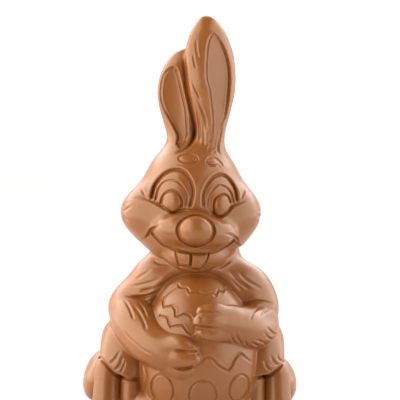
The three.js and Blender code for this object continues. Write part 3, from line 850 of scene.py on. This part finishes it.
DARK_CHOCOLATE = (0.258, 0.079, 0.0145, 1)
PALE_CHOCOLATE = (0.298, 0.097, 0.0195, 1)
ROUGHNESS = (0.28, 0.37)
SPECULAR_LEVEL = 0.75
SPECULAR_TINT = (1, 0.93, 0.78, 1)
# Light under the skin: how much of it, how far each colour goes and how far that is in metres.
SUBSURFACE_SHARE = 0.3
SUBSURFACE_COLOURS = (1, 0.5, 0.25)
SUBSURFACE_REACH = 0.0015

# Each noise: features for a metre, and how many finer layers they have.
TONE_NOISE = (45, 4)
SHINE_NOISE = (80, 3)
GRAIN_NOISE = (700, 3)
# Most of a noise lies between these values.
NOISE_LOW = 0.3
NOISE_HIGH = 0.7
GRAIN_STRENGTH = 0.12
GRAIN_HEIGHT = 0.0002

# Where a mixing node of colours has its share, its two colours and its result.
MIX_SHARE, MIX_FIRST, MIX_SECOND = 0, 6, 7
MIX_RESULT = 2


def set_inputs(node, values):
    for name, value in values.items():
        node.inputs[name].default_value = value


def noise(nodes, links, scale, detail):
    """A noise whose value depends on the place alone."""
    place = nodes.new("ShaderNodeTexCoord")
    texture = nodes.new("ShaderNodeTexNoise")
    set_inputs(texture, {"Scale": scale, "Detail": detail})
    links.new(place.outputs["Object"], texture.inputs["Vector"])
    return texture.outputs["Fac"]


def stretched(nodes, links, value, low, high):
    """The middle of a noise's range, stretched to run from a low to a high value."""
    span = nodes.new("ShaderNodeMapRange")
    set_inputs(span, {"From Min": NOISE_LOW, "From Max": NOISE_HIGH, "To Min": low, "To Max": high})
    links.new(value, span.inputs["Value"])
    return span.outputs["Result"]


def chocolate_material():
    """Milk chocolate: a faintly uneven tone and shine, and the fine grain of the mould."""
    material = bpy.data.materials.new("milk_chocolate")
    material.use_nodes = True
    nodes, links = material.node_tree.nodes, material.node_tree.links
    shader = nodes["Principled BSDF"]
    tone = nodes.new("ShaderNodeMix")
    tone.data_type = "RGBA"
    set_inputs(tone, {MIX_FIRST: DARK_CHOCOLATE, MIX_SECOND: PALE_CHOCOLATE})
    patches = stretched(nodes, links, noise(nodes, links, *TONE_NOISE), 0, 1)
    links.new(patches, tone.inputs[MIX_SHARE])
    links.new(tone.outputs[MIX_RESULT], shader.inputs["Base Color"])
    shine = stretched(nodes, links, noise(nodes, links, *SHINE_NOISE), *ROUGHNESS)
    links.new(shine, shader.inputs["Roughness"])
    grain = nodes.new("ShaderNodeBump")
    set_inputs(grain, {"Strength": GRAIN_STRENGTH, "Distance": GRAIN_HEIGHT})
    links.new(noise(nodes, links, *GRAIN_NOISE), grain.inputs["Height"])
    links.new(grain.outputs["Normal"], shader.inputs["Normal"])
    set_inputs(shader, {
        "Specular IOR Level": SPECULAR_LEVEL,
        "Specular Tint": SPECULAR_TINT,
        "Subsurface Weight": SUBSURFACE_SHARE,
        "Subsurface Radius": SUBSURFACE_COLOURS,
        "Subsurface Scale": SUBSURFACE_REACH,
    })
    return material


# ---------------------------------------------------------------- stage, light, camera

# The camera's focal length and frame in pixels, and its sensor in millimetres.
FOCAL_PIXELS = 1520
FRAME_PIXELS = 400
SENSOR = 36

WHITE = (1, 1, 1)
WARM = (1, 0.95, 0.86)
# Softboxes: name, place, the place they face, width, height, radiance and colour, in metres.
SOFTBOXES = [
    ("left_softbox", (-0.62, -0.36, 0.62), (0, -0.36, 0.62), 1.7, 1.24, 3.5, WARM),
    ("right_softbox", (0.62, -0.11, 0.5), (0, -0.11, 0.5), 1.3, 1, 2.5, WHITE),
    ("back_softbox", (0, 4.5, 2.4), (0, 4.5, 0), 9, 5, 3.2, WHITE),
]
# The light from all round grows from the low to the high strength as its direction turns from
# the viewer's side to the back: these are the directions' shares along Y.
DIM_DIRECTION = -0.15
BRIGHT_DIRECTION = 0.7
DIM_STRENGTH = 0.05
BRIGHT_STRENGTH = 1.1

FLOOR_HALF = 6
FLOOR_GREY = 0.6
FLOOR_ROUGHNESS = 0.7


def add_camera():
    data = bpy.data.cameras.new("camera")
    data.sensor_width = SENSOR
    data.lens = SENSOR * FOCAL_PIXELS / FRAME_PIXELS
    camera = bpy.data.objects.new("camera", data)
    bpy.context.scene.collection.objects.link(camera)
    back = Vector((0, -math.cos(VIEW_TILT), math.sin(VIEW_TILT)))
    camera.location = (Vector(BOARD_MIDDLE) + VIEW_DISTANCE * back) * MM
    camera.rotation_euler = (math.pi / 2 - VIEW_TILT, 0, 0)
    bpy.context.scene.camera = camera


def add_softbox(name, place, aim, width, height, radiance, colour):
    """A flat light of even brightness, where 1 is as bright as white paper in full light."""
    data = bpy.data.lights.new(name, "AREA")
    data.shape = "RECTANGLE"
    data.size, data.size_y = width, height
    data.energy = radiance * math.pi * width * height
    data.color = colour
    lamp = bpy.data.objects.new(name, data)
    lamp.visible_camera = False
    bpy.context.scene.collection.objects.link(lamp)
    lamp.location = place
    lamp.rotation_euler = (Vector(aim) - Vector(place)).to_track_quat("-Z", "Y").to_euler()


def add_world():
    """White light from the back of a light tent, almost none from the viewer's side."""
    world = bpy.data.worlds.new("light_tent")
    bpy.context.scene.world = world
    world.use_nodes = True
    nodes, links = world.node_tree.nodes, world.node_tree.links
    direction = nodes.new("ShaderNodeTexCoord")
    split = nodes.new("ShaderNodeSeparateXYZ")
    links.new(direction.outputs["Generated"], split.inputs[0])
    opening = nodes.new("ShaderNodeMapRange")
    opening.interpolation_type = "SMOOTHSTEP"
    set_inputs(opening, {
        "From Min": DIM_DIRECTION,
        "From Max": BRIGHT_DIRECTION,
        "To Min": DIM_STRENGTH,
        "To Max": BRIGHT_STRENGTH,
    })
    links.new(split.outputs["Y"], opening.inputs["Value"])
    links.new(opening.outputs["Result"], nodes["Background"].inputs["Strength"])
    set_inputs(nodes["Background"], {"Color": (*WHITE, 1)})


def floor_material():
    material = bpy.data.materials.new("pale_floor")
    material.use_nodes = True
    set_inputs(material.node_tree.nodes["Principled BSDF"], {
        "Base Color": (FLOOR_GREY, FLOOR_GREY, FLOOR_GREY, 1),
        "Roughness": FLOOR_ROUGHNESS,
    })
    return material


def add_floor():
    mesh = bpy.data.meshes.new("floor")
    corners = [(FLOOR_HALF * x, FLOOR_HALF * y, 0) for x, y in ((-1, -1), (1, -1), (1, 1), (-1, 1))]
    mesh.from_pydata(corners, [], [range(len(corners))])
    floor = bpy.data.objects.new("floor", mesh)
    bpy.context.scene.collection.objects.link(floor)
    mesh.materials.append(floor_material())


bpy.context.scene.view_settings.view_transform = "Standard"
add_camera()
add_world()
add_floor()
for softbox in SOFTBOXES:
    add_softbox(*softbox)

bunny = build_figure()
bunny.data.materials.append(chocolate_material())
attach(bunny, "root")
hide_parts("bunny")
